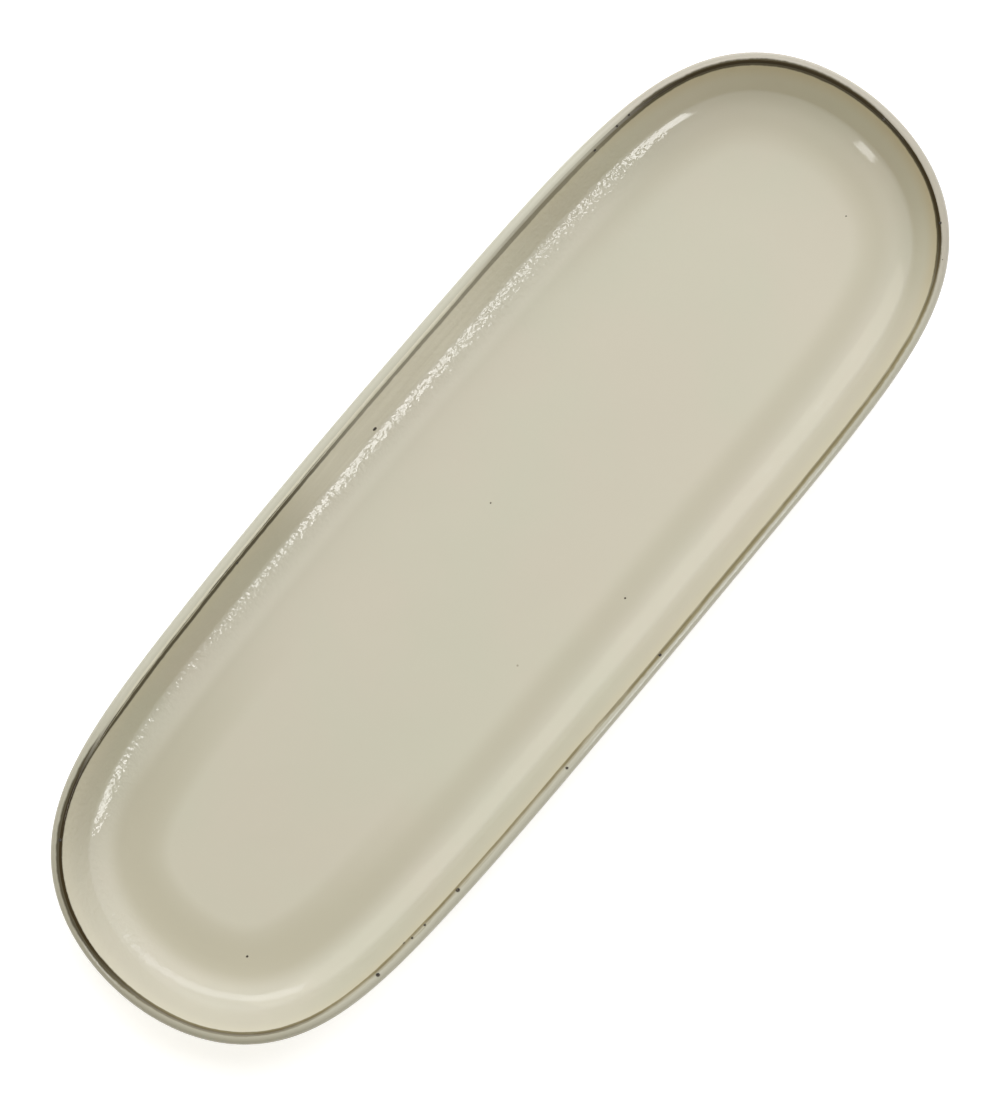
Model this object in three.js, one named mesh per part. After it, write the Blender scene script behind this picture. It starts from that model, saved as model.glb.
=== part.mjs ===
// Long oval serving dish in glazed stoneware. Millimetres, +Z up, length along X.
// The clay body is one pressed piece: floor, cove, leaning wall, rounded lip and foot ring. Glaze coats the
// well, the outside and the recess under the dish, and an iron-oxide line runs round the inside of the lip.
// The foot ring is wiped bare. The origin is the middle of the plane that the foot ring stands on.
import * as THREE from "three";

// Plan of the finished rim
const dishLength = 360;
const dishWidth = 125;
const sideBow = 3.75; // the half-width that the long sides lose towards the ends
const endFullness = 7.5; // exponent of the ends: 2 is an ellipse, more is squarer

// Section of the finished dish, through clay and glaze
const dishHeight = 22;
const wallThickness = 4.5; // the same in the wall, the cove and the floor
const wallLean = 33; // degrees from upright
const coveRadius = 24; // between the floor of the well and the wall
const coveSlope = 31; // degrees, where the cove turns up into the wall
const wallFootRadius = 3.5; // of that turn

// Glaze, and the rim line that takes its place on the lip
const glazeThickness = 0.5;
const clayLipRadius = 1.1; // of the clay's edge between the lip and the well, which the glaze rounds further
const lineFrom = 12; // degrees that the lip has turned into the well where the line starts
const lineTurn = 36; // degrees of the lip that the line covers

// Foot ring of bare clay
const footHeight = 2;
const footWidth = 5; // of the face that it stands on, with its rounded edges
const footDraft = 0.7; // each side leans in by this much on the way down
const footEdgeRadius = 0.6;
const bareClay = 1.5; // left between the foot ring and the glaze on each side

// Fineness of the faceted surfaces
const stationCount = 80; // round the rim
const coveSteps = 6;
const wallFootSteps = 3;
const lipSteps = 5; // from the crest to the rim's outer edge
const underLipSteps = 2;
const lineSteps = 4;
const footEdgeSteps = 2;
const tangentStep = 1e-4; // of one turn round the rim

const innerGlazeLook = { color: 0xcbc7b4, roughness: 0.12 };
const outerGlazeLook = { color: 0xcacabe, roughness: 0.15 };
const lineLook = { color: 0x3b3322, roughness: 0.2 };
const clayLook = { color: 0xb8a58a, roughness: 0.85 };

// The rim seen from above: a closed oval with full ends and slightly bowed sides.
class RimOutline extends THREE.Curve {
  getPoint(t, target = new THREE.Vector2()) {
    const angle = 2 * Math.PI * t;
    const along = Math.cos(angle);
    const across = Math.sign(Math.sin(angle)) * Math.sqrt(1 - Math.abs(along) ** endFullness);
    return target.set((dishLength / 2) * along, (dishWidth / 2 - sideBow * along * along) * across);
  }

  getTangent(t, target = new THREE.Vector2()) {
    const behind = this.getPoint(t - tangentStep);
    return this.getPoint(t + tangentStep, target).sub(behind).normalize();
  }
}

// Places round the rim, each with its point and its inward direction.
const outline = new RimOutline();
const stations = Array.from({ length: stationCount }, (_, i) => {
  const forward = outline.getTangent(i / stationCount);
  return {
    point: outline.getPoint(i / stationCount),
    inward: new THREE.Vector2(-forward.y, forward.x),
  };
});

// Points of the section hold how far in they are from the rim's outer edge, and how high.
// An arc's points also hold which way their surface faces: 90 degrees is up and 180 is outwards.
// A hollow arc has a negative radius.
function sectionArc(centre, radius, fromDegrees, toDegrees, steps) {
  return Array.from({ length: steps + 1 }, (_, i) => {
    const degrees = THREE.MathUtils.lerp(fromDegrees, toDegrees, i / steps);
    const angle = THREE.MathUtils.degToRad(degrees);
    const facing = new THREE.Vector2(Math.cos(angle), Math.sin(angle));
    return {
      inset: centre.x + radius * facing.x,
      z: centre.y + radius * facing.y,
      facing,
    };
  });
}

// The clay under a point of the glazed surface.
const underGlaze = ({ inset, z, facing }) => ({
  inset: inset - glazeThickness * facing.x,
  z: z - glazeThickness * facing.y,
});

// The lip turns quickly into the well and slowly outwards. Its two arcs meet at the crest.
const lean = THREE.MathUtils.degToRad(wallLean);
const innerLipRadius = clayLipRadius + glazeThickness;
const outerLipRadius =
  (wallThickness - innerLipRadius * (1 - Math.sin(lean))) / (1 + Math.sin(lean));
const innerLipCentre = new THREE.Vector2(outerLipRadius, dishHeight - innerLipRadius);
const outerLipCentre = new THREE.Vector2(outerLipRadius, dishHeight - outerLipRadius);

// The wall, tangent to the lip, turns quickly into the wide cove. Where the two arcs meet, the cove's centre
// lies further along the line from that point through the centre of the turn.
const floorTop = footHeight + wallThickness;
const coveTurn = 90 - coveSlope;
const turnToCove = new THREE.Vector2(coveRadius - wallFootRadius, 0).rotateAround(
  new THREE.Vector2(),
  THREE.MathUtils.degToRad(coveTurn),
);
const turnHeight = floorTop + coveRadius - turnToCove.y;
const turnInset =
  innerLipCentre.x +
  (wallFootRadius + innerLipRadius) / Math.cos(lean) +
  (innerLipCentre.y - turnHeight) * Math.tan(lean);
const turnCentre = new THREE.Vector2(turnInset, turnHeight);
const coveCentre = turnCentre.clone().add(turnToCove);

// The glazed surface, from the floor of the well over the lip to the end of the outer glaze.
// The outside keeps the thickness of the wall, so its arcs have the same centres as the inside's.
const lineOuterEdge = 90 - lineFrom;
const lineInnerEdge = lineOuterEdge - lineTurn;
const insideSkin = [
  ...sectionArc(coveCentre, -coveRadius, 90, coveTurn, coveSteps),
  ...sectionArc(turnCentre, -wallFootRadius, coveTurn, wallLean, wallFootSteps).slice(1),
  ...sectionArc(innerLipCentre, innerLipRadius, wallLean, lineInnerEdge, 1),
];
const lineSkin = sectionArc(
  innerLipCentre,
  innerLipRadius,
  lineInnerEdge,
  lineOuterEdge,
  lineSteps,
);
const outsideSkin = [
  ...sectionArc(innerLipCentre, innerLipRadius, lineOuterEdge, 90, 1),
  ...sectionArc(outerLipCentre, outerLipRadius, 90, 180, lipSteps).slice(1),
  ...sectionArc(outerLipCentre, outerLipRadius, 180, 180 + wallLean, underLipSteps).slice(1),
  ...sectionArc(
    turnCentre,
    wallFootRadius + wallThickness,
    180 + wallLean,
    180 + coveTurn,
    wallFootSteps,
  ),
  ...sectionArc(coveCentre, coveRadius + wallThickness, 180 + coveTurn, 270, coveSteps).slice(1),
];

// The bare clay, from the end of the outer glaze round the foot ring to the edge of the glazed recess.
const footRoot = footHeight + glazeThickness;
const footOuter = coveCentre.x + bareClay;
const footInner = footOuter + footWidth + 2 * footDraft;
const recessEdge = footInner + bareClay;
const outerEdgeCentre = new THREE.Vector2(footOuter + footDraft + footEdgeRadius, footEdgeRadius);
const innerEdgeCentre = new THREE.Vector2(footInner - footDraft - footEdgeRadius, footEdgeRadius);
const footSkin = [
  { inset: footOuter, z: footRoot },
  ...sectionArc(outerEdgeCentre, footEdgeRadius, 180, 270, footEdgeSteps),
  ...sectionArc(innerEdgeCentre, footEdgeRadius, 270, 360, footEdgeSteps),
  { inset: footInner, z: footRoot },
  { inset: recessEdge, z: footRoot },
];

// One section point carried all round the rim.
const ringOf = ({ inset, z }) =>
  stations.map(
    ({ point, inward }) =>
      new THREE.Vector3(point.x + inset * inward.x, point.y + inset * inward.y, z),
  );

// Triangles of the surface through a run of rings.
function surfaceThrough(rings) {
  return rings.slice(1).flatMap((ring, k) => {
    const before = rings[k];
    return ring.flatMap((point, i) => {
      const next = (i + 1) % stationCount;
      return [
        [before[i], point, ring[next]],
        [before[i], ring[next], before[next]],
      ];
    });
  });
}

// Triangles of the flat face inside a ring, facing up.
function capInside(ring) {
  const flat = ring.map(({ x, y }) => new THREE.Vector2(x, y));
  return THREE.ShapeUtils.triangulateShape(flat, []).map((corners) => corners.map((i) => ring[i]));
}

const turnedOver = (faces) => faces.map(([a, b, c]) => [a, c, b]);

function geometryOf(...surfaces) {
  const geometry = new THREE.BufferGeometry().setFromPoints(surfaces.flat(2));
  geometry.computeVertexNormals();
  return geometry;
}

// The clay body lies under every coat and shows at the foot ring.
function bodyGeometry() {
  const glazed = [...insideSkin, ...lineSkin.slice(1), ...outsideSkin.slice(1)];
  const rings = [...glazed.map(underGlaze), ...footSkin].map(ringOf);
  return geometryOf(
    capInside(rings[0]),
    surfaceThrough(rings),
    turnedOver(capInside(rings.at(-1))),
  );
}

// The inner glaze closes over the floor of the well and ends at the rim line.
function wellGlazeGeometry() {
  const glaze = insideSkin.map(ringOf);
  const clay = insideSkin.map(underGlaze).map(ringOf);
  return geometryOf(
    capInside(glaze[0]),
    surfaceThrough(glaze),
    surfaceThrough([glaze.at(-1), clay.at(-1)]),
    turnedOver(surfaceThrough(clay)),
    turnedOver(capInside(clay[0])),
  );
}

// A coat that is a band round the dish.
function bandGeometry(skin) {
  const glaze = skin.map(ringOf);
  const clay = skin.map(underGlaze).map(ringOf);
  return geometryOf(
    surfaceThrough(glaze),
    surfaceThrough([glaze.at(-1), clay.at(-1)]),
    turnedOver(surfaceThrough(clay)),
    turnedOver(surfaceThrough([glaze[0], clay[0]])),
  );
}

// The glaze of the recess is a flat sheet inside the foot ring.
function recessGeometry() {
  const clay = ringOf({ inset: recessEdge, z: footRoot });
  const glaze = ringOf({ inset: recessEdge, z: footHeight });
  return geometryOf(capInside(clay), surfaceThrough([clay, glaze]), turnedOver(capInside(glaze)));
}

function piece(name, geometry, look) {
  const mesh = new THREE.Mesh(geometry, new THREE.MeshStandardMaterial({ ...look, metalness: 0 }));
  mesh.name = name;
  return mesh;
}

const dish = new THREE.Group();
dish.add(
  piece("stoneware_body", bodyGeometry(), clayLook),
  piece("inner_glaze", wellGlazeGeometry(), innerGlazeLook),
  piece("rim_line", bandGeometry(lineSkin), lineLook),
  piece("outer_glaze", bandGeometry(outsideSkin), outerGlazeLook),
  piece("recess_glaze", recessGeometry(), outerGlazeLook),
);

export default dish;
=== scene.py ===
# Long oval stoneware dish: clay body, glaze coats, rim line and iron specks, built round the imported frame
import math
import bpy
from mathutils import Matrix, Vector


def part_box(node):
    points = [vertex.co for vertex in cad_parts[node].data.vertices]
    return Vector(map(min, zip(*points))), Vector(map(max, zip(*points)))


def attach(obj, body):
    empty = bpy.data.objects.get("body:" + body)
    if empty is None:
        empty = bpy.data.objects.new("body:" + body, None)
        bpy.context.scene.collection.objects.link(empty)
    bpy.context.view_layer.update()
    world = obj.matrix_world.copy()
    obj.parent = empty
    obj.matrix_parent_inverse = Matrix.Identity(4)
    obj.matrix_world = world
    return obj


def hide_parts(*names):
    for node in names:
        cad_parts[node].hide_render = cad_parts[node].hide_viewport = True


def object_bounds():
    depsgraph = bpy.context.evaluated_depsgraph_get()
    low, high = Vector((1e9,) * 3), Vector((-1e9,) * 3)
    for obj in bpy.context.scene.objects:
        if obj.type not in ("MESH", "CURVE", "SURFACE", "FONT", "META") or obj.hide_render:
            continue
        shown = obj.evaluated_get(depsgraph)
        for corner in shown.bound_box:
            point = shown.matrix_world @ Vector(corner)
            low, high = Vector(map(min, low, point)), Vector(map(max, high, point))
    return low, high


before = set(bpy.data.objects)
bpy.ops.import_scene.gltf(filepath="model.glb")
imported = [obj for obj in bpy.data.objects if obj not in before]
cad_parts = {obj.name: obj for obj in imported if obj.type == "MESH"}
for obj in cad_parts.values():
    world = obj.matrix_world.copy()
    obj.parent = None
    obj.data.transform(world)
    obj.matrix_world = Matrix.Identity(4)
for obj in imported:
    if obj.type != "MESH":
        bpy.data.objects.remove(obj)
cadLow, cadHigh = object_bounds()
print("frame loaded:", sorted(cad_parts))

# Sizes that the frame already holds
dishLength, dishWidth, dishHeight = cadHigh - cadLow
recessLow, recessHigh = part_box("recess_glaze")
footHeight = recessLow.z
glazeThickness = recessHigh.z - recessLow.z
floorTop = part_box("inner_glaze")[0].z + glazeThickness

dishShape = {
    "sideBow": 0.00375,  # half-width lost towards the ends
    "endFullness": 7.5,  # exponent of the ends, 2 is an ellipse
    "wallThickness": 0.0045,
    "wallLean": 33.0,  # degrees from upright
    "coveRadius": 0.024,
    "coveTurn": 31.0,  # slope in degrees at which the cove turns into the wall
    "wallFootRadius": 0.0035,  # of that turn
    "softLean": 27.5,  # both again, for the -Y side
    "softFootRadius": 0.009,
    "innerLipRadius": 0.0016,
    "lineFrom": 12.0,  # degrees of the lip under the rim line, from the crest into the well
    "lineTo": 48.0,
    "bareClay": 0.0015,  # each side of the foot ring
    "footWidth": 0.005,
    "footDraft": 0.0007,
    "stations": 400,  # round the rim
    "wobble": 0.0012,  # unevenness of the pressing, in plan
    "wobbleSize": 0.11,
    "warp": 0.0015,  # and in height, at the rim
    "sway": 0.00042,  # sideways bow of the whole dish
    "swaySpan": 0.096,
    "seed": 4.0,
}


class Wire:
    # A socket that takes part in Python sums, each of which adds a Math node
    def __init__(self, tree, socket=None):
        self.tree = tree
        self.socket = socket

    def node(self, kind, settings=None, inputs=None, output=0):
        made = self.tree.nodes.new(kind)
        for name, value in (settings or {}).items():
            setattr(made, name, value)
        for key, value in (inputs or {}).items():
            for one in value if isinstance(value, list) else [value]:
                if isinstance(one, Wire):
                    self.tree.links.new(one.socket, made.inputs[key])
                else:
                    made.inputs[key].default_value = one
        return Wire(self.tree, made.outputs[output] if made.outputs else None)

    def also(self, output):  # another output of the same node
        return Wire(self.tree, self.socket.node.outputs[output])

    def math(self, operation, *values):
        return self.node("ShaderNodeMath", {"operation": operation}, dict(enumerate(values)))

    def __add__(self, other):
        return self.math("ADD", self, other)

    def __radd__(self, other):
        return self.math("ADD", other, self)

    def __sub__(self, other):
        return self.math("SUBTRACT", self, other)

    def __rsub__(self, other):
        return self.math("SUBTRACT", other, self)

    def __mul__(self, other):
        return self.math("MULTIPLY", self, other)

    def __rmul__(self, other):
        return self.math("MULTIPLY", other, self)

    def __truediv__(self, other):
        return self.math("DIVIDE", self, other)

    def __rtruediv__(self, other):
        return self.math("DIVIDE", other, self)

    def __pow__(self, other):
        return self.math("POWER", self, other)

    # Shorter names for the nodes that come up most
    def smooth(self, low, high):  # rises from 0 to 1 between two values
        return self.node("ShaderNodeMapRange", {"interpolation_type": "SMOOTHSTEP"},
                         {"Value": self, "From Min": low, "From Max": high})

    def noise(self, size, detail, shift=0.0):  # self is the place, and a shift keeps patterns apart
        moved = self.node("ShaderNodeVectorMath", {"operation": "ADD"}, {0: self, 1: (shift, shift, shift)})
        return self.node("ShaderNodeTexNoise", None,
                         {"Vector": moved, "Scale": 1 / size, "Detail": detail}, "Fac")

    def mix(self, first, second):  # self is the share of the second colour
        return self.node("ShaderNodeMix", {"data_type": "RGBA"}, {0: self, 6: first, 7: second}, 2)

    def scatter(self, least, most, seed):  # a number between two values for each point, the same every run
        return self.node("FunctionNodeRandomValue", {"data_type": "FLOAT"}, {2: least, 3: most, 8: seed}, 1)


# Section of the dish, as points of inset from the rim, height and facing
def arcOf(centre, radius, fromTurn, toTurn, steps):  # a hollow arc has a negative radius
    points = []
    for k in range(steps + 1):
        facing = math.radians(fromTurn + (toTurn - fromTurn) * k / steps)
        points.append((centre.x + radius * math.cos(facing), centre.y + radius * math.sin(facing), facing))
    return points


def between(first, last, steps):  # points of the straight wall, without its ends
    return [tuple(a + (b - a) * k / steps for a, b in zip(first, last)) for k in range(1, steps)]


def underGlaze(points):
    return [(inset - glazeThickness * math.cos(facing), z - glazeThickness * math.sin(facing), facing)
            for inset, z, facing in points]


def rounded(corners, cut, steps=6):  # a run of corners, each cut back and turned by a smooth curve
    points = [corners[0]]
    for before, corner, after in zip(corners, corners[1:], corners[2:]):
        start = corner + (before - corner).normalized() * cut
        end = corner + (after - corner).normalized() * cut
        for k in range(steps + 1):
            t = k / steps
            points.append(start * (1 - t) ** 2 + corner * 2 * t * (1 - t) + end * t ** 2)
    points.append(corners[-1])
    return points


leanTurn = dishShape["wallLean"]
coveTurn = 90 - dishShape["coveTurn"]
lean = math.radians(leanTurn)
wallThickness = dishShape["wallThickness"]
innerLip = dishShape["innerLipRadius"]
outerLip = (wallThickness - innerLip * (1 - math.sin(lean))) / (1 + math.sin(lean))
innerLipCentre = Vector((outerLip, dishHeight - innerLip))
outerLipCentre = Vector((outerLip, dishHeight - outerLip))

lineStart = 90 - dishShape["lineTo"]
lineEnd = 90 - dishShape["lineFrom"]
coveRadius = dishShape["coveRadius"]
turnRadius = dishShape["wallFootRadius"]
floorSteps = (0.012, 0.0085, 0.005, 0.0025, 0.001)  # flat rings inside the cove
sectionSteps = {  # how finely each stretch of the section is divided
    "cove": 22,
    "wallFoot": 10,
    "wall": 8,
    "innerTurn": 4,
    "line": 10,
    "crest": 3,
    "outerTurn": 20,
    "wallBack": 10,
    "bend": 20,
}


def turnOf(wallTurn, footRadius):
    # The wall stands tangent to the lip and turns into the wide cove
    slope = math.radians(coveTurn)
    turnToCove = (coveRadius - footRadius) * Vector((math.cos(slope), math.sin(slope)))
    height = floorTop + coveRadius - turnToCove.y
    tilt = math.radians(wallTurn)
    rise = innerLipCentre.y - height
    inset = outerLip + (footRadius + innerLip) / math.cos(tilt) + rise * math.tan(tilt)
    centre = Vector((inset, height))
    return centre, centre + turnToCove


turnCentre, coveCentre = turnOf(leanTurn, turnRadius)


def insideOf(wallTurn, footRadius):
    footCentre, roundCentre = turnOf(wallTurn, footRadius)
    flat = [(coveCentre.x + step, floorTop, math.pi / 2) for step in floorSteps]
    cove = arcOf(roundCentre, -coveRadius, 90, coveTurn, sectionSteps["cove"])
    wallFoot = arcOf(footCentre, -footRadius, coveTurn, wallTurn, sectionSteps["wallFoot"])
    innerTurn = arcOf(innerLipCentre, innerLip, wallTurn, lineStart, sectionSteps["innerTurn"])
    wall = between(wallFoot[-1], innerTurn[0], sectionSteps["wall"])
    return flat + cove + wallFoot[1:] + wall + innerTurn


insideSkin = insideOf(leanTurn, turnRadius)
softSkin = insideOf(dishShape["softLean"], dishShape["softFootRadius"])
lineSkin = arcOf(innerLipCentre, innerLip, lineStart, lineEnd, sectionSteps["line"])
crest = arcOf(innerLipCentre, innerLip, lineEnd, 90, sectionSteps["crest"])
outerTurn = arcOf(outerLipCentre, outerLip, 90, 180 + leanTurn, sectionSteps["outerTurn"])
wallBack = arcOf(turnCentre, turnRadius + wallThickness, 180 + leanTurn, 180 + coveTurn,
                 sectionSteps["wallBack"])
bend = arcOf(coveCentre, coveRadius + wallThickness, 180 + coveTurn, 270, sectionSteps["bend"])
outerWall = between(outerTurn[-1], wallBack[0], sectionSteps["wall"])
outsideSkin = crest + outerTurn[1:] + outerWall + wallBack + bend[1:]

footRoot = footHeight + glazeThickness
footOuter = coveCentre.x + dishShape["bareClay"]
footInner = footOuter + dishShape["footWidth"] + 2 * dishShape["footDraft"]
recessEdge = footInner + dishShape["bareClay"]
print("section worked out, crest at %.2f mm from the rim" % (outerLip * 1000))


def rimPoint(net, turn, length, width, bow, fullness):
    along = net.math("COSINE", turn)
    side = net.math("SIGN", net.math("SINE", turn))
    across = side * net.math("SQRT", 1 - net.math("ABSOLUTE", along) ** fullness)
    return net.node("ShaderNodeCombineXYZ", None, {
        "X": along * length * 0.5,
        "Y": (width * 0.5 - bow * along * along) * across,
    })


softSide = {
    "across": (-0.03, 0.03),  # from -Y, where the softer section comes in, to +Y
    "fade": (0.12, 0.165),  # along the dish, round the +X end
    "fadeShare": 0.7,
}
sharpTurn = math.radians(40)  # edges that bend more than this stay crisp
joinWithin = 1e-6  # welds the flat sheets to the sweep


def buildSweepTree():
    # Carries a section round the rim, closes its two open ends and gives the clay its unevenness
    tree = bpy.data.node_groups.new("sweepRoundRim", "GeometryNodeTree")
    tree.interface.new_socket("Geometry", in_out="OUTPUT", socket_type="NodeSocketGeometry")
    tree.interface.new_socket("Section", in_out="INPUT", socket_type="NodeSocketGeometry")
    for name in ("Length", "Width", "Height", "Side Bow", "End Fullness",
                 "Top Inset", "Top Height", "Under Inset", "Under Height",
                 "Wobble", "Wobble Size", "Warp", "Sway", "Sway Span", "Seed"):
        tree.interface.new_socket(name, in_out="INPUT", socket_type="NodeSocketFloat")
    tree.interface.new_socket("Stations", in_out="INPUT", socket_type="NodeSocketInt")
    tree.interface.new_socket("Closed Over", in_out="INPUT", socket_type="NodeSocketBool")
    tree.interface.new_socket("Finish", in_out="INPUT", socket_type="NodeSocketMaterial")
    net = Wire(tree)
    section = net.node("NodeGroupInput", output="Section")
    given = section.also

    turn = net.node("GeometryNodeInputIndex") / given("Stations") * math.tau
    place = rimPoint(net, turn, given("Length"), given("Width"), given("Side Bow"), given("End Fullness"))
    circle = net.node("GeometryNodeCurvePrimitiveCircle", {"mode": "RADIUS"},
                      {"Resolution": given("Stations")})
    rim = net.node("GeometryNodeSetPosition", None, {"Geometry": circle, "Position": place})
    rim = net.node("GeometryNodeSetCurveNormal", {"mode": "Z_UP"}, {"Curve": rim})
    outward = net.node("GeometryNodeInputNormal")
    isVector = {"data_type": "FLOAT_VECTOR"}
    rail = net.node("GeometryNodeStoreNamedAttribute", isVector,
                    {"Geometry": rim, "Name": "outward", "Value": outward})
    profile = net.node("GeometryNodeMeshToCurve", None, {"Mesh": section})
    swept = net.node("GeometryNodeCurveToMesh", None, {"Curve": rail, "Profile Curve": profile})

    # The softer section comes in along the -Y side, and fades round the +X end
    axes = net.node("ShaderNodeSeparateXYZ", None, {"Vector": net.node("GeometryNodeInputPosition")})
    soft = 1 - axes.also("Y").smooth(*softSide["across"])
    soft = soft * (1 - axes.smooth(*softSide["fade"]) * softSide["fadeShare"])
    ease = net.node("GeometryNodeInputNamedAttribute", isVector, {"Name": "soften"})
    ease = net.node("ShaderNodeSeparateXYZ", None, {"Vector": ease})
    aimed = net.node("GeometryNodeInputNamedAttribute", isVector, {"Name": "outward"})
    aimed = net.node("ShaderNodeVectorMath", {"operation": "SCALE"}, {0: aimed, "Scale": 0 - ease * soft})
    raised = net.node("ShaderNodeCombineXYZ", None, {"Z": ease.also("Y") * soft})
    eased = net.node("ShaderNodeVectorMath", {"operation": "ADD"}, {0: aimed, 1: raised})
    swept = net.node("GeometryNodeSetPosition", None, {"Geometry": swept, "Offset": eased})

    def capAt(inset, height):
        shift = net.node("ShaderNodeVectorMath", {"operation": "SCALE"}, {0: outward, "Scale": 0 - inset})
        ring = net.node("GeometryNodeSetPosition", None, {"Geometry": rim, "Offset": shift})
        sheet = net.node("GeometryNodeFillCurve", {"mode": "TRIANGLES"}, {"Curve": ring})
        lift = net.node("ShaderNodeCombineXYZ", None, {"Z": height})
        return net.node("GeometryNodeSetPosition", None, {"Geometry": sheet, "Offset": lift})

    top = capAt(given("Top Inset"), given("Top Height"))
    under = capAt(given("Under Inset"), given("Under Height"))
    under = net.node("GeometryNodeFlipFaces", None, {"Mesh": under})
    whole = net.node("GeometryNodeJoinGeometry", None, {"Geometry": [swept, top, under]})
    shell = net.node("GeometryNodeSwitch", {"input_type": "GEOMETRY"},
                     {"Switch": given("Closed Over"), "False": swept, "True": whole})
    shell = net.node("GeometryNodeMergeByDistance", None, {"Geometry": shell, "Distance": joinWithin})

    spot = net.node("GeometryNodeInputPosition")
    drift = net.node("ShaderNodeTexNoise", {"noise_dimensions": "4D"}, {
        "Vector": spot,
        "W": given("Seed"),
        "Scale": 1 / given("Wobble Size"),
        "Detail": 1.0,
    }, "Color")
    drift = net.node("ShaderNodeVectorMath", {"operation": "SUBTRACT"}, {0: drift, 1: (0.5, 0.5, 0.5)})
    rise = net.node("ShaderNodeSeparateXYZ", None, {"Vector": spot}, "Z") / given("Height")
    most = net.node("ShaderNodeCombineXYZ", None,
                    {"X": given("Wobble"), "Y": given("Wobble"), "Z": given("Warp") * rise})
    move = net.node("ShaderNodeVectorMath", {"operation": "MULTIPLY"}, {0: drift, 1: most})
    shell = net.node("GeometryNodeSetPosition", None, {"Geometry": shell, "Offset": move})
    reach = net.node("ShaderNodeSeparateXYZ", None, {"Vector": spot}) / given("Sway Span")
    aside = net.node("ShaderNodeCombineXYZ", None, {"Y": given("Sway") * (1 - reach * reach)})
    shell = net.node("GeometryNodeSetPosition", None, {"Geometry": shell, "Offset": aside})

    shell = net.node("GeometryNodeSetShadeSmooth", None, {"Geometry": shell, "Shade Smooth": True})
    sharp = net.math("GREATER_THAN", net.node("GeometryNodeInputMeshEdgeAngle"), sharpTurn)
    shell = net.node("GeometryNodeSetShadeSmooth", {"domain": "EDGE"},
                     {"Geometry": shell, "Selection": sharp, "Shade Smooth": False})
    shell = net.node("GeometryNodeRealizeInstances", None, {"Geometry": shell})
    shell = net.node("GeometryNodeSetMaterial", None, {"Geometry": shell, "Material": given("Finish")})
    net.node("NodeGroupOutput", None, {"Geometry": shell})
    return tree


def makePlain(source, tree, values, name):
    # Runs a tree on an object and keeps the result as a plain mesh
    modifier = source.modifiers.new(tree.name, "NODES")
    modifier.node_group = tree
    for item in tree.interface.items_tree:
        if item.in_out == "INPUT" and item.name in values:
            modifier[item.identifier] = values[item.name]
    source.update_tag()
    graph = bpy.context.evaluated_depsgraph_get()
    mesh = bpy.data.meshes.new_from_object(source.evaluated_get(graph), depsgraph=graph)
    source.modifiers.remove(modifier)
    bpy.data.objects.remove(source)
    mesh.name = name
    piece = bpy.data.objects.new(name, mesh)
    bpy.context.scene.collection.objects.link(piece)
    return piece


def sectionObject(name, points, softPoints, nearEdge, loop=False):
    # The section stands in the plane that the sweep turns: x goes outwards, y goes down
    mesh = bpy.data.meshes.new(name)
    edges = [(k, k + 1) for k in range(len(points) - 1)]
    if loop:
        edges.append((len(points) - 1, 0))
    mesh.from_pydata([(-inset, -z, 0) for inset, z, *facing in points], edges, [])
    mesh.attributes.new("nearEdge", "FLOAT", "POINT").data.foreach_set("value", nearEdge)
    moves = [(after[0] - before[0], after[1] - before[1], 0) for before, after in zip(points, softPoints)]
    soften = mesh.attributes.new("soften", "FLOAT_VECTOR", "POINT")
    soften.data.foreach_set("vector", [n for move in moves for n in move])
    holder = bpy.data.objects.new(name, mesh)
    bpy.context.scene.collection.objects.link(holder)
    return holder


def fadeAlong(points, reach):
    # 1 at the first point, falling to 0 after a run of the section as long as the reach
    run = 0.0
    fade = [1.0]
    for before, point in zip(points, points[1:]):
        run += math.dist(before[:2], point[:2])
        fade.append(max(0.0, 1 - run / reach))
    return fade


sweepTree = buildSweepTree()


def sweepPiece(name, points, softPoints, nearEdge, finish, node, capped):
    values = {
        "Length": dishLength,
        "Width": dishWidth,
        "Height": dishHeight,
        "Side Bow": dishShape["sideBow"],
        "End Fullness": dishShape["endFullness"],
        "Top Inset": points[0][0],
        "Top Height": points[0][1],
        "Under Inset": points[-1][0],
        "Under Height": points[-1][1],
        "Wobble": dishShape["wobble"],
        "Wobble Size": dishShape["wobbleSize"],
        "Warp": dishShape["warp"],
        "Sway": dishShape["sway"],
        "Sway Span": dishShape["swaySpan"],
        "Seed": dishShape["seed"],
        "Stations": dishShape["stations"],
        "Closed Over": capped,
        "Finish": finish,
    }
    section = sectionObject(name + "Section", points, softPoints, nearEdge, not capped)
    piece = makePlain(section, sweepTree, values, name)
    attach(piece, "root")
    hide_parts(node)
    print("%s: %d faces" % (name, len(piece.data.polygons)))
    return piece


# Camera straight above, turned so that the dish lies as in the photograph
cameraShape = {
    "aim": (-0.00015, -0.00086, 0.022),
    "distance": 1.224,
    "roll": -49.79,
    "frameHeight": 0.3368,  # metres seen at the rim
}


def makeCamera():
    data = bpy.data.cameras.new("studioCamera")
    data.sensor_fit = "VERTICAL"
    data.lens = data.sensor_height * cameraShape["distance"] / cameraShape["frameHeight"]
    camera = bpy.data.objects.new("studioCamera", data)
    turn = Matrix.Rotation(math.radians(cameraShape["roll"]), 4, "Z")
    back = Matrix.Translation((0, 0, cameraShape["distance"]))
    camera.matrix_world = Matrix.Translation(cameraShape["aim"]) @ turn @ back
    bpy.context.scene.collection.objects.link(camera)
    bpy.context.scene.camera = camera


makeCamera()
print("camera set")


def newFinish(name):
    finish = bpy.data.materials.new(name)
    finish.use_nodes = True
    finish.node_tree.nodes.clear()
    return finish, Wire(finish.node_tree)


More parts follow.
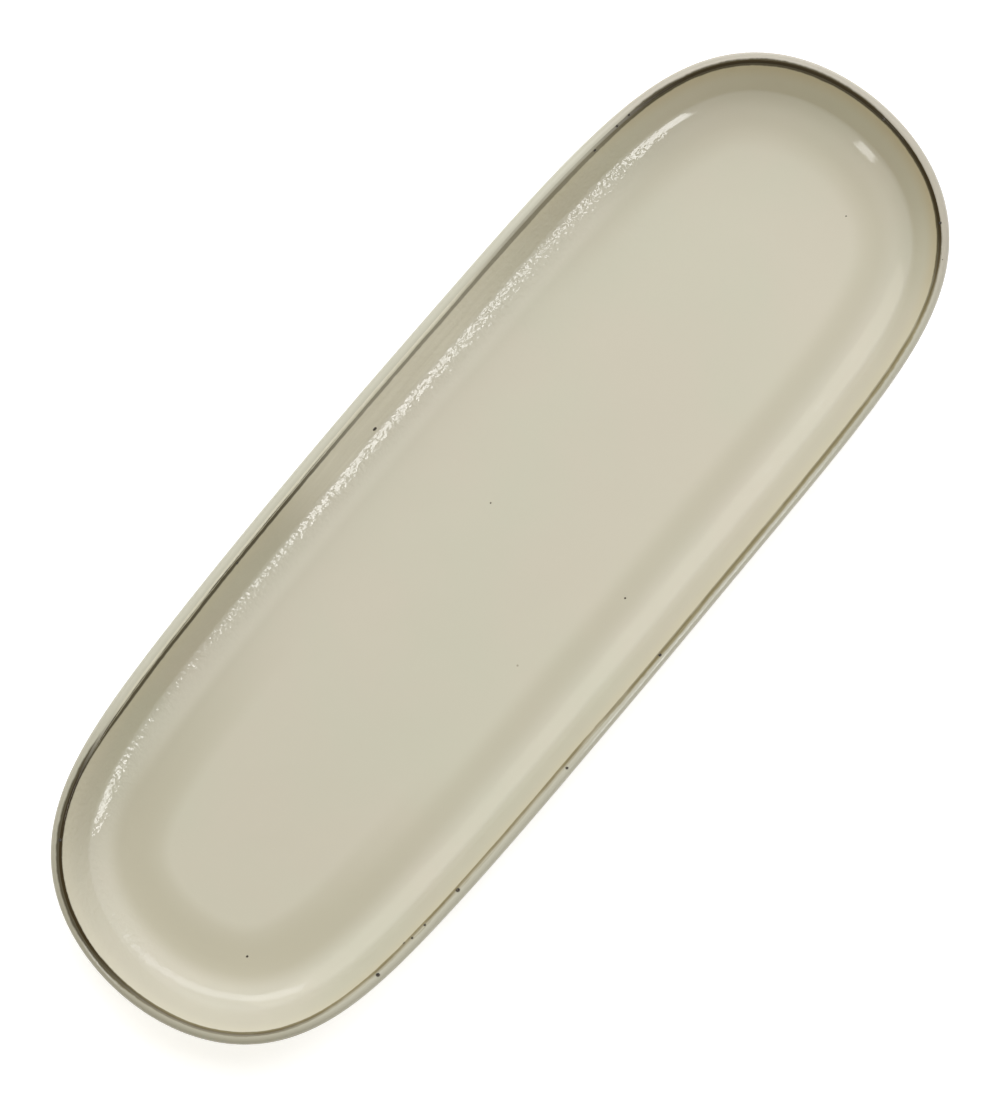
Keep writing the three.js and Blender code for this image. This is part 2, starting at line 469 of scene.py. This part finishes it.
def closeFinish(net, sockets):
    shader = net.node("ShaderNodeBsdfPrincipled", None, sockets)
    net.node("ShaderNodeOutputMaterial", None, {"Surface": shader})


wallReach = 0.045  # how far from the edge of the line the glaze tells its distance

rimShape = {
    "end": (0.13, 0.165),  # from the middle, where an end begins and where it is full
    "endRound": 0.025,  # how much further round it comes along +Y
    "plusY": (-0.02, 0.02),
    "back": (-0.04, 0.01),  # the half towards -X
}


def rimSides(net, place):
    # The place along the dish, and shares of the ends, of the +Y side and of the half towards -X
    along = net.node("ShaderNodeSeparateXYZ", None, {"Vector": place})
    plusY = along.also("Y").smooth(*rimShape["plusY"])
    end = (net.math("ABSOLUTE", along) + plusY * rimShape["endRound"]).smooth(*rimShape["end"])
    return along, end, plusY, 1 - along.smooth(*rimShape["back"])


# In these shapes, places along the dish are in metres and those up the section run to 1 at the line
darkRingShape = {
    "minusX": (0.05, 0.14),
    "plusX": (0.05, 0.13),
    "wide": (0, 0.34),  # up the section at the -X end
    "narrow": (0.27, 0.42),  # and elsewhere
    "fade": (0.46, 0.6),
    "minusYShare": 0.6,
    "plusYShare": 0.4,
}


def darkRingShare(along, plusY, nearEdge):
    # A darker, yellower ring round the foot of the cove, most at the -X end
    minusX = (0 - along).smooth(*darkRingShape["minusX"])
    aside = plusY * along.smooth(*darkRingShape["plusX"]) * darkRingShape["plusYShare"]
    aside = aside + (1 - plusY) * darkRingShape["minusYShare"]
    wide = minusX * nearEdge.smooth(*darkRingShape["wide"])
    narrow = (1 - minusX) * aside * nearEdge.smooth(*darkRingShape["narrow"])
    return (wide + narrow) * (1 - nearEdge.smooth(*darkRingShape["fade"]))


# Painted sheen on the +Y wall, and painted light in the cove below it
paintedSheenShape = {
    "start": (-0.045, -0.01),
    "stop": (0.035, 0.1),
    "stopShare": 0.9,
    "up": (0.65, 0.74),
    "streakSize": 0.0022,
    "streakStretch": (0.1, 1, 1),
    "even": 0.55,
    "uneven": 0.8,
    "paleStart": (0.1, 0.14),  # towards -X
    "paleStop": (0.09, 0.13),  # towards +X
    "paleUp": (0.43, 0.52),
    "paleDown": (0.62, 0.7),
    "paleShare": 0.3,
}


def paintedSheenShare(net, place, along, plusY, nearEdge):
    # Painted sheen: streaks of painted reflection on the +Y wall, and a paler band of painted light in the
    # cove below them
    drawn = net.node("ShaderNodeVectorMath", {"operation": "MULTIPLY"},
                     {0: place, 1: paintedSheenShape["streakStretch"]})
    streaks = paintedSheenShape["even"] + drawn.noise(paintedSheenShape["streakSize"], 2.0, 3.1) * paintedSheenShape["uneven"]
    sheenMask = along.smooth(*paintedSheenShape["start"])
    sheenMask = sheenMask * (1 - along.smooth(*paintedSheenShape["stop"]) * paintedSheenShape["stopShare"])
    sheenMask = sheenMask * plusY * nearEdge.smooth(*paintedSheenShape["up"]) * streaks
    pale = (1 - along.smooth(*paintedSheenShape["paleStop"])) * (1 - (0 - along).smooth(*paintedSheenShape["paleStart"]))
    pale = pale * nearEdge.smooth(*paintedSheenShape["paleUp"]) * (1 - nearEdge.smooth(*paintedSheenShape["paleDown"]))
    return sheenMask + plusY * pale * paintedSheenShape["paleShare"]


stainShape = {
    "fineSize": 0.0022,  # of its ragged edge
    "fineShare": 0.6,
    "coarseSize": 0.012,
    "coarseShare": 0.8,
    "middle": 0.7,  # of both together
    "clear": 0.0006,  # between the line and the stain along +Y
    "clearStop": (0.04, 0.08),
    "softStart": (-0.0005, 0),
    "softStop": (-0.0004, 0.0003),
    "minusXTurn": 0.6,  # how far the fainter tone of -Y comes round the -X end
    "plusYLess": 0.35,  # lost along the +X half of +Y
}


def stained(colour, place, sides, nearEdge, tone):
    # Iron that ran out of the line, further at some sides than at others
    along, end, plusY, back = sides
    given = tone["stainReach"]
    beside = plusY * given["plusY"] + (1 - plusY) * (given["minusY"] + back * given["minusYBack"])
    roundMinusX = back * (given["minusX"] + (1 - plusY) * given["minusXRound"])
    roundEnds = roundMinusX + (1 - back) * given["plusX"] + plusY * given["plusYRound"]
    reach = end * roundEnds + (1 - end) * beside

    fine = place.noise(stainShape["fineSize"], 3.0, 7.7) * stainShape["fineShare"]
    ragged = fine + place.noise(stainShape["coarseSize"], 2.0, 1.7) * stainShape["coarseShare"]
    away = (1 - nearEdge) * wallReach + (ragged - stainShape["middle"]) * tone["stainRag"]
    alongPlusY = (1 - end) * plusY
    clear = alongPlusY * (1 - along.smooth(*stainShape["clearStop"])) * stainShape["clear"]
    stain = (away - clear).smooth(*stainShape["softStart"])
    stain = stain * (1 - (away - reach).smooth(*stainShape["softStop"]))

    alongMinusY = (1 - plusY) * (1 - end * (1 - back * stainShape["minusXTurn"]))
    stainTone = alongMinusY.mix(tone["stain"], tone["stainMinusY"])
    share = tone["stainShare"] * (1 - alongPlusY * (1 - back) * stainShape["plusYLess"])
    return (stain * share).mix(colour, stainTone)


freckles = {
    "tone": (0.16, 0.12, 0.06, 1),
    "spacing": 0.012,
    "spot": (0.015, 0.04),  # middle and edge, in spacings
    "rarity": 0.8,  # share of the spots left out
    "share": 0.5,
}


def freckled(colour, net, place):
    cell = net.node("ShaderNodeTexVoronoi", None,
                    {"Vector": place, "Scale": 1 / freckles["spacing"]}, "Distance")
    chance = net.node("ShaderNodeSeparateColor", None, {"Color": cell.also("Color")}, "Red")
    freckle = (1 - cell.smooth(*freckles["spot"])) * net.math("GREATER_THAN", chance, freckles["rarity"])
    return (freckle * freckles["share"]).mix(colour, freckles["tone"])


peelShape = {
    "size": 0.0015,
    "depth": 0.00014,
    "least": 0.1,
    "upWall": (0.45, 0.65),
    "backLess": 0.35,
    "front": (0.02, 0.07),  # where it grows towards +X
    "frontMore": 0.7,
    "waveSize": 0.014,
    "waveShare": 1.2,
}


def orangePeel(net, place, sides, nearEdge, tone):
    # Fine pits, strongest along the +Y wall, over slow waves
    along, end, plusY, back = sides
    upWall = tone["peelFloor"] + nearEdge.smooth(*peelShape["upWall"]) * (1 - tone["peelFloor"])
    sparkle = plusY * (1 - end * (1 - back)) * (1 - back * (1 - end) * peelShape["backLess"])
    sparkle = sparkle * (1 + along.smooth(*peelShape["front"]) * peelShape["frontMore"])
    peel = place.noise(peelShape["size"], 1.0, 5.3)
    peel = peel * (peelShape["least"] + sparkle * tone["sparkle"]) * upWall
    wave = place.noise(peelShape["waveSize"], 1.0, 9.1) * peelShape["waveShare"]
    return net.node("ShaderNodeBump", None,
                    {"Strength": 1.0, "Distance": peelShape["depth"], "Height": peel + wave})


innerGlazeTone = {
    "cool": (0.562, 0.545, 0.422, 1),
    "warm": (0.578, 0.541, 0.425, 1),
    "cloudSize": 0.045,
    "cloudEdges": (0.3, 0.7),
    # thin glaze beside the line, made lighter with a painted sheen on the walls under the line
    "thinAndPaintedLight": (0.605, 0.565, 0.415, 1),
    # painted shade on the walls round the +X end, darker and browner
    "thinShadedPlusX": (0.54, 0.468, 0.3, 1),
    # painted light on the walls round the -X end
    "thinPaintedLightMinusX": (0.625, 0.59, 0.455, 1),
    "thinUp": (0.82, 1.0),
    "thinShare": 0.9,
    # darker, yellower ring round the foot of the cove
    "ringTone": (0.475, 0.443, 0.322, 1),
    "ringToneShare": 0.9,
    # painted sheen, lighter than the glaze
    "sheenTone": (0.79, 0.76, 0.635, 1),
    "sheenToneShare": 0.95,
    "stain": (0.044, 0.031, 0.002, 1),
    "stainMinusY": (0.25, 0.21, 0.1, 1),
    "stainShare": 0.95,
    "stainRag": 0.0008,
    "stainReach": {
        "plusX": 0.0008,
        "minusX": -0.0002,
        "minusXRound": 0.0009,  # added on the -Y half of the -X end
        "plusYRound": 0.0004,  # added on the +Y half of both ends
        "plusY": 0.0021,
        "minusY": -0.0006,
        "minusYBack": 0.0012,  # added on its half towards -X
    },
    "peelFloor": 0.15,  # share of the orange peel left on the floor of the well
    "sparkle": 1.1,  # of it added along +Y
    "rough": 0.06,
    "roughMore": 0.05,
    "roughSize": 0.06,
    "roughEdges": (0.35, 0.62),
}
outerGlazeTone = dict(innerGlazeTone, **{
    "cool": (0.565, 0.556, 0.45, 1),
    "warm": (0.58, 0.552, 0.45, 1),
    # on the outside: thin glaze made darker with painted shade, darkest round the ends
    "thinAndPaintedLight": (0.525, 0.51, 0.4, 1),
    "thinShadedPlusX": (0.455, 0.42, 0.33, 1),
    "thinPaintedLightMinusX": (0.45, 0.43, 0.325, 1),
    "thinUp": (0.84, 0.95),
    "thinShare": 1.0,
    "ringToneShare": 0.0,
    "sheenToneShare": 0.0,
    "stainReach": {
        "plusX": 0.0001,
        "minusX": 0.0005,
        "minusXRound": -0.0005,
        "plusYRound": 0.0005,
        "plusY": -0.0008,
        "minusY": 0.0006,
        "minusYBack": -0.0006,
    },
    "peelFloor": 1.0,
    "sparkle": 0.1,
})
recessGlazeTone = dict(outerGlazeTone, thinShare=0.0, stainShare=0.0)


def glazeFinish(name, tone):
    # Cream glaze: faintly cloudy, thin and stained beside the line with painted light and shade at the
    # ends, a darker ring round the foot of the cove, a painted sheen along +Y, and orange peel
    finish, net = newFinish(name)
    place = net.node("ShaderNodeTexCoord", output="Object")
    nearEdge = net.node("ShaderNodeAttribute", {"attribute_name": "nearEdge"}, output="Fac")
    sides = rimSides(net, place)
    along, end, plusY, back = sides

    cloud = place.noise(tone["cloudSize"], 3.0).smooth(*tone["cloudEdges"])
    colour = cloud.mix(tone["cool"], tone["warm"])
    # Beside the line: thin glaze, with painted light and shade at each end
    thinWithEndLight = (end * (1 - back)).mix(tone["thinAndPaintedLight"], tone["thinShadedPlusX"])
    thinWithEndLight = (end * back).mix(thinWithEndLight, tone["thinPaintedLightMinusX"])
    colour = (nearEdge.smooth(*tone["thinUp"]) * tone["thinShare"]).mix(colour, thinWithEndLight)
    if tone["ringToneShare"]:
        ringed = darkRingShare(along, plusY, nearEdge)
        colour = (ringed * tone["ringToneShare"]).mix(colour, tone["ringTone"])
    # painted sheen and painted light along +Y
    if tone["sheenToneShare"]:
        sheenMask = paintedSheenShare(net, place, along, plusY, nearEdge)
        colour = (sheenMask * tone["sheenToneShare"]).mix(colour, tone["sheenTone"])
    if tone["stainShare"]:
        colour = stained(colour, place, sides, nearEdge, tone)
    colour = freckled(colour, net, place)

    duller = place.noise(tone["roughSize"], 1.0, 4.4).smooth(*tone["roughEdges"])
    closeFinish(net, {
        "Base Color": colour,
        "Roughness": tone["rough"] + duller * tone["roughMore"],
        "IOR": 1.5,
        "Normal": orangePeel(net, place, sides, nearEdge, tone),
    })
    return finish


lineTone = {
    "dark": (0.034, 0.021, 0.002, 1),
    # worn line showing the lip, and lighter than the glaze as a painted highlight on the crest side
    "wornAndHighlight": (0.73, 0.7, 0.55, 1),
    "wornHighlightShare": 0.96,
    "wornHighlightAcross": (0.05, 0.4),  # from the well to the crest, on the half towards -X
    "wornHighlightRag": 0.25,
    "front": (0.04, 0.08),  # along the dish, where it is less worn and its painted highlight weaker again
    "frontLess": 0.42,
    "faint": (0.2, 0.165, 0.08, 1),
    "faintFront": (0.1, 0.7),  # across the line
    "faintBack": (0.3, 0.9),
    "minusXTurn": 0.45,  # how far the faint line comes round the -X end
    "rubbed": (0.52, 0.49, 0.37, 1),
    "rubbedPatchy": 0.25,
    "rubbedLess": 0.15,
    "rubbedBack": 0.2,
    "rubbedAcross": 0.6,
    "patchSize": 0.009,
    "patchEdges": (0.35, 0.65),
    "rough": 0.06,
    "roughMore": 0.06,
    "shine": 0.18,
    "reliefSize": 0.0012,
    "reliefDepth": 0.00006,
}


def lineFinish():
    # Iron-oxide line: near black round the ends, worn along +Y with a painted highlight on its crest side,
    # faint along -Y
    finish, net = newFinish("ironLine")
    place = net.node("ShaderNodeTexCoord", output="Object")
    across = net.node("ShaderNodeAttribute", {"attribute_name": "nearEdge"}, output="Fac")
    along, end, plusY, back = rimSides(net, place)
    patchy = place.noise(lineTone["patchSize"], 3.0, 4.4).smooth(*lineTone["patchEdges"])

    wornHighlightFront = 1 - along.smooth(*lineTone["front"]) * lineTone["frontLess"]
    wornHighlightBack = (across + (patchy - 0.5) * lineTone["wornHighlightRag"]).smooth(*lineTone["wornHighlightAcross"])
    wornAndHighlight = (1 - end) * plusY * ((1 - back) * wornHighlightFront + back * wornHighlightBack)
    colour = (wornAndHighlight * lineTone["wornHighlightShare"]).mix(lineTone["dark"], lineTone["wornAndHighlight"])

    lighterFront = 1 - across.smooth(*lineTone["faintFront"])
    lighter = (1 - back) * lighterFront + back * across.smooth(*lineTone["faintBack"])
    rubbed = patchy * lineTone["rubbedPatchy"] - lineTone["rubbedLess"]
    rubbed = rubbed + back * lineTone["rubbedBack"] + lighter * lineTone["rubbedAcross"]
    faint = rubbed.mix(lineTone["faint"], lineTone["rubbed"])
    alongMinusY = (1 - plusY) * (1 - end * (1 - back * lineTone["minusXTurn"]))
    colour = alongMinusY.mix(colour, faint)

    relief = place.noise(lineTone["reliefSize"], 2.0, 5.3)
    normal = net.node("ShaderNodeBump", None,
                      {"Strength": 1.0, "Distance": lineTone["reliefDepth"], "Height": relief})
    closeFinish(net, {
        "Base Color": colour,
        "Roughness": lineTone["rough"] + patchy * lineTone["roughMore"],
        "Specular IOR Level": lineTone["shine"],
        "Normal": normal,
    })
    return finish


clayTone = {
    "body": (0.47, 0.37, 0.25, 1),
    "toast": (0.36, 0.25, 0.145, 1),
    "grit": (0.16, 0.11, 0.07, 1),
    "toastSize": 0.025,
    "toastEdges": (0.4, 0.68),
    "toastShare": 0.6,
    "grainSize": 0.0006,
    "grainDepth": 0.0003,
    "gritSize": 0.0011,
    "gritEdges": (0.66, 0.74),
    "gritShare": 0.7,
    "rough": 0.78,
    "roughMore": 0.15,
}


def clayFinish():
    # Bare stoneware: matt, toasted in patches, with fine grit
    finish, net = newFinish("bareClay")
    place = net.node("ShaderNodeTexCoord", output="Object")
    toasted = place.noise(clayTone["toastSize"], 3.0, 2.9).smooth(*clayTone["toastEdges"])
    colour = (toasted * clayTone["toastShare"]).mix(clayTone["body"], clayTone["toast"])
    grain = place.noise(clayTone["grainSize"], 3.0, 6.1)
    grit = place.noise(clayTone["gritSize"], 1.0, 8.3).smooth(*clayTone["gritEdges"])
    colour = (grit * clayTone["gritShare"]).mix(colour, clayTone["grit"])
    normal = net.node("ShaderNodeBump", None,
                      {"Strength": 0.6, "Distance": clayTone["grainDepth"], "Height": grain})
    closeFinish(net, {
        "Base Color": colour,
        "Roughness": clayTone["rough"] + grain * clayTone["roughMore"],
        "Normal": normal,
    })
    return finish


# Coats and body, each a closed shell between its finished face and the clay under it
def shellOf(skin):
    return skin + underGlaze(skin)[::-1]


innerFade = fadeAlong(insideSkin[::-1], wallReach)[::-1]
innerGlaze = sweepPiece("innerGlaze", shellOf(insideSkin), shellOf(softSkin),
                        innerFade + innerFade[::-1], glazeFinish("wellGlaze", innerGlazeTone),
                        "inner_glaze", True)
outerFade = fadeAlong(outsideSkin, wallReach)
outerShell = shellOf(outsideSkin)
outerGlaze = sweepPiece("outerGlaze", outerShell, outerShell, outerFade + outerFade[::-1],
                        glazeFinish("outsideGlaze", outerGlazeTone), "outer_glaze", False)
lineShell = shellOf(lineSkin)
lineAcross = [k / (len(lineSkin) - 1) for k in range(len(lineSkin))]  # 0 at the well, 1 at the crest
rimLine = sweepPiece("rimLine", lineShell, lineShell, lineAcross + lineAcross[::-1],
                     lineFinish(), "rim_line", False)

footShape = {
    "lead": 0.0002,  # from the end of the bend to the first point of bare clay
    "round": 0.0008,  # how far its corners are cut back
    "recessSteps": (0.002, 0.005, 0.008),  # swept rings of the recess, before its flat middle
    "recessRound": 0.0002,
}
footCorners = [
    Vector((coveCentre.x + footShape["lead"], footRoot)),
    Vector((footOuter, footRoot)),
    Vector((footOuter + dishShape["footDraft"], 0)),
    Vector((footInner - dishShape["footDraft"], 0)),
    Vector((footInner, footRoot)),
    Vector((recessEdge, footRoot)),
]
footSkin = [(point.x, point.y) for point in rounded(footCorners, footShape["round"])]
recessLead = [(recessEdge + step, footRoot) for step in footShape["recessSteps"]]
overLip = lineSkin[1:] + outsideSkin[1:]
bodyPoints = underGlaze(insideSkin + overLip) + footSkin + recessLead
softBody = underGlaze(softSkin + overLip) + footSkin + recessLead
stonewareBody = sweepPiece("stonewareBody", bodyPoints, softBody, [0.0] * len(bodyPoints),
                           clayFinish(), "stoneware_body", True)

recessMiddle = recessEdge + footShape["recessSteps"][-1]
recessCorners = [
    Vector((recessMiddle, footRoot)),
    Vector((recessEdge, footRoot)),
    Vector((recessEdge, footHeight)),
    Vector((recessMiddle, footHeight)),
]
recessPoints = [(point.x, point.y) for point in rounded(recessCorners, footShape["recessRound"])]
sweepPiece("recessGlaze", recessPoints, recessPoints, [0.0] * len(recessPoints),
           glazeFinish("undersideGlaze", recessGlazeTone), "recess_glaze", True)


ironSpecks = {
    "placed": [  # x, y and radius in millimetres, where the iron burnt through
        (3.2, 52.7, 0.8), (-147.5, -22.6, 0.42), (13.3, -40.4, 0.34), (8.9, 10.6, 0.28),
        (148.2, -16.2, 0.26), (112.1, 55.9, 0.6), (122.1, 55.5, 0.5), (127.1, 54.9, 0.45),
        (176.6, -5.7, 0.55), (163.4, -39.4, 0.5), (-55.5, 58.0, 0.5), (-155.5, 44.6, 0.6),
        (-88.4, -58.5, 0.75), (-124.1, -56.6, 0.7), (-103.1, -57.7, 0.45), (-108.7, -57.3, 0.45),
        (-111.5, -56.4, 0.4), (6.7, -59.3, 0.55), (-38.2, -59.9, 0.5),
    ],
    "strewn": 900.0,  # finer ones on the outside, for each square metre
    "strewnRadius": 0.0002,
    "strewnSizes": (0.5, 1.2),  # least and most, as shares of that radius
    "strewnDepth": 0.8,  # only on a face that lies this share of the glaze away from the clay
    "ovals": (0.6, 1.0),  # least and most, width over length
    "dropFrom": 0.1,
    "flatness": 0.3,
    "seed": 3,
    "burnt": (0.018, 0.014, 0.008, 1),
    "rusty": (0.06, 0.045, 0.022, 1),
    "rustSize": 0.0006,
    "rustEdges": (0.4, 0.65),
    "rough": 0.2,
    "roughMore": 0.2,
}


def buildSpeckTree():
    # Drops each point onto the dish, lays a flat bead there, and strews finer ones on the outside
    tree = bpy.data.node_groups.new("layIronSpecks", "GeometryNodeTree")
    tree.interface.new_socket("Geometry", in_out="OUTPUT", socket_type="NodeSocketGeometry")
    tree.interface.new_socket("Points", in_out="INPUT", socket_type="NodeSocketGeometry")
    for name in ("Well", "Line", "Outside", "Clay"):
        tree.interface.new_socket(name, in_out="INPUT", socket_type="NodeSocketObject")
    for name in ("Strewn", "Strewn Radius", "Flatness"):
        tree.interface.new_socket(name, in_out="INPUT", socket_type="NodeSocketFloat")
    tree.interface.new_socket("Seed", in_out="INPUT", socket_type="NodeSocketInt")
    tree.interface.new_socket("Finish", in_out="INPUT", socket_type="NodeSocketMaterial")
    net = Wire(tree)
    points = net.node("NodeGroupInput", output="Points")
    given = points.also

    coats = {}
    for name in ("Well", "Line", "Outside"):
        coats[name] = net.node("GeometryNodeObjectInfo", None, {"Object": given(name)}, "Geometry")
    dish = net.node("GeometryNodeJoinGeometry", None, {"Geometry": list(coats.values())})
    hit = net.node("GeometryNodeRaycast", None, {
        "Target Geometry": dish,
        "Ray Direction": (0, 0, -1),
        "Ray Length": 1.0,
    }, "Hit Position")
    isVector = {"data_type": "FLOAT_VECTOR"}
    isNumber = {"data_type": "FLOAT"}
    placed = net.node("GeometryNodeStoreNamedAttribute", isVector,
                      {"Geometry": points, "Name": "facing", "Value": hit.also("Hit Normal")})
    placed = net.node("GeometryNodeSetPosition", None, {"Geometry": placed, "Position": hit})
    placed = net.node("GeometryNodeMeshToPoints", None, {"Mesh": placed})

    clay = net.node("GeometryNodeObjectInfo", None, {"Object": given("Clay")}, "Geometry")
    depth = net.node("GeometryNodeProximity", {"target_element": "FACES"}, {"Target": clay}, "Distance")
    strewn = net.node("GeometryNodeDistributePointsOnFaces", None, {
        "Mesh": coats["Outside"],
        "Selection": net.math("GREATER_THAN", depth, glazeThickness * ironSpecks["strewnDepth"]),
        "Density": given("Strewn"),
        "Seed": given("Seed"),
    })
    strewn = net.node("GeometryNodeStoreNamedAttribute", isVector,
                      {"Geometry": strewn, "Name": "facing", "Value": strewn.also("Normal")})
    fine = net.scatter(*ironSpecks["strewnSizes"], given("Seed"))
    strewn = net.node("GeometryNodeStoreNamedAttribute", isNumber,
                      {"Geometry": strewn, "Name": "speckRadius", "Value": fine * given("Strewn Radius")})
    spots = net.node("GeometryNodeJoinGeometry", None, {"Geometry": [placed, strewn]})

    spin = net.scatter(0.0, math.tau, given("Seed"))
    spin = net.node("FunctionNodeAxisAngleToRotation", None, {"Axis": (0, 0, 1), "Angle": spin})
    facing = net.node("GeometryNodeInputNamedAttribute", isVector, {"Name": "facing"})
    turn = net.node("FunctionNodeAlignRotationToVector", {"axis": "Z"},
                    {"Rotation": spin, "Vector": facing})
    radius = net.node("GeometryNodeInputNamedAttribute", isNumber, {"Name": "speckRadius"})
    oval = net.scatter(*ironSpecks["ovals"], given("Seed") + 1)
    size = net.node("ShaderNodeCombineXYZ", None,
                    {"X": radius, "Y": radius * oval, "Z": radius * given("Flatness")})
    bead = net.node("GeometryNodeMeshIcoSphere", None, {"Radius": 1.0, "Subdivisions": 2})
    beads = net.node("GeometryNodeInstanceOnPoints", None,
                     {"Points": spots, "Instance": bead, "Rotation": turn, "Scale": size})
    beads = net.node("GeometryNodeSetShadeSmooth", None, {"Geometry": beads, "Shade Smooth": True})
    beads = net.node("GeometryNodeRealizeInstances", None, {"Geometry": beads})
    beads = net.node("GeometryNodeSetMaterial", None, {"Geometry": beads, "Material": given("Finish")})
    net.node("NodeGroupOutput", None, {"Geometry": beads})
    return tree


def speckFinish():
    finish, net = newFinish("ironSpeck")
    place = net.node("ShaderNodeTexCoord", output="Object")
    rusty = place.noise(ironSpecks["rustSize"], 2.0, 3.3).smooth(*ironSpecks["rustEdges"])
    closeFinish(net, {
        "Base Color": rusty.mix(ironSpecks["burnt"], ironSpecks["rusty"]),
        "Roughness": ironSpecks["rough"] + rusty * ironSpecks["roughMore"],
    })
    return finish


def makeSpecks():
    placed = ironSpecks["placed"]
    mesh = bpy.data.meshes.new("speckPoints")
    drop = ironSpecks["dropFrom"]
    mesh.from_pydata([(x / 1000, y / 1000, drop) for x, y, radius in placed], [], [])
    sizes = [radius / 1000 for x, y, radius in placed]
    mesh.attributes.new("speckRadius", "FLOAT", "POINT").data.foreach_set("value", sizes)
    holder = bpy.data.objects.new("speckPoints", mesh)
    bpy.context.scene.collection.objects.link(holder)
    values = {
        "Well": innerGlaze,
        "Line": rimLine,
        "Outside": outerGlaze,
        "Clay": stonewareBody,
        "Strewn": ironSpecks["strewn"],
        "Strewn Radius": ironSpecks["strewnRadius"],
        "Flatness": ironSpecks["flatness"],
        "Seed": ironSpecks["seed"],
        "Finish": speckFinish(),
    }
    specks = makePlain(holder, buildSpeckTree(), values, "ironSpecks")
    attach(specks, "root")
    print("ironSpecks: %d faces" % len(specks.data.polygons))


makeSpecks()

# Studio: a wide key and a strip beyond +X, a wing at +Y, a window at -Y and a lamp beyond -X
studioLights = {
    "key": {
        "place": (1.461, 0.777, 1.613),
        "size": (3.1, 2.57),
        "power": 51.5,
        "colour": (0.96, 1, 1.19),
        "shines": False,  # lights the dish without a highlight of its own
    },
    "strip": {
        "place": (0.925, 0.624, 1.298),
        "size": (2.29, 0.32),
        "power": 4.8,
        "colour": (0.98, 1, 1.1),
        "shines": True,
    },
    "wing": {
        "place": (0.286, 1.345, 1.015),
        "size": (1.4, 1.0),
        "power": 4.4,
        "colour": (1.04, 1, 0.86),
        "shines": True,
    },
    "window": {
        "place": (0.05, -0.81, 0.62),
        "size": (0.23, 0.215),
        "power": 1.28,
        "colour": (1, 1, 1),
        "shines": True,
    },
    "lamp": {
        "place": (-0.89, 0.135, 0.925),
        "size": (0.17, 0.36),
        "power": 1.0,
        "colour": (1, 1, 1),
        "shines": True,
    },
}
studioAim = Vector((0, 0, 0.015))


def makeLights():
    for name, light in studioLights.items():
        data = bpy.data.lights.new(name, "AREA")
        data.shape = "RECTANGLE"
        data.size, data.size_y = light["size"]
        data.energy = light["power"]
        data.color = light["colour"]
        lamp = bpy.data.objects.new(name, data)
        lamp.location = light["place"]
        towards = studioAim - Vector(light["place"])
        lamp.rotation_euler = towards.to_track_quat("-Z", "Y").to_euler()
        lamp.visible_camera = False
        lamp.visible_glossy = light["shines"]
        bpy.context.scene.collection.objects.link(lamp)


studioWhite = {
    "ambient": 0.3,
    "ambientTone": (1.0, 0.91, 0.64, 1),
    "floorTone": (0.8, 0.8, 0.8, 1),
    "floorLift": 0.6,
    "floorReach": 3.0,  # from its middle to each edge
    "floorDrop": 0.0001,  # keeps it clear of the foot ring
}


def seenDirectly(net):
    path = net.node("ShaderNodeLightPath", output="Is Camera Ray")
    both = net.math("MAXIMUM", path, path.also("Is Glossy Ray"))
    return net.math("MAXIMUM", both, path.also("Is Transmission Ray"))


def makeBackground():
    world = bpy.data.worlds.new("studioWorld")
    world.use_nodes = True
    world.node_tree.nodes.clear()
    net = Wire(world.node_tree)
    seen = seenDirectly(net)
    sky = net.node("ShaderNodeBackground", None, {
        "Color": seen.mix(studioWhite["ambientTone"], (1, 1, 1, 1)),
        "Strength": studioWhite["ambient"] + seen * (1 - studioWhite["ambient"]),
    })
    net.node("ShaderNodeOutputWorld", None, {"Surface": sky})
    bpy.context.scene.world = world

    reach = studioWhite["floorReach"]
    level = -studioWhite["floorDrop"]
    corners = [(x * reach, y * reach, level) for x, y in ((-1, -1), (1, -1), (1, 1), (-1, 1))]
    mesh = bpy.data.meshes.new("studioFloor")
    mesh.from_pydata(corners, [], [(0, 1, 2, 3)])
    floor = bpy.data.objects.new("studioFloor", mesh)
    bpy.context.scene.collection.objects.link(floor)
    finish, net = newFinish("floorWhite")
    matt = net.node("ShaderNodeBsdfDiffuse", None, {"Color": studioWhite["floorTone"]})
    glow = net.node("ShaderNodeEmission", None, {"Strength": seenDirectly(net) * studioWhite["floorLift"]})
    both = net.node("ShaderNodeAddShader", None, {0: matt, 1: glow})
    net.node("ShaderNodeOutputMaterial", None, {"Surface": both})
    mesh.materials.append(finish)


makeLights()
makeBackground()
print("studio set")

bpy.context.scene.view_settings.view_transform = "Standard"
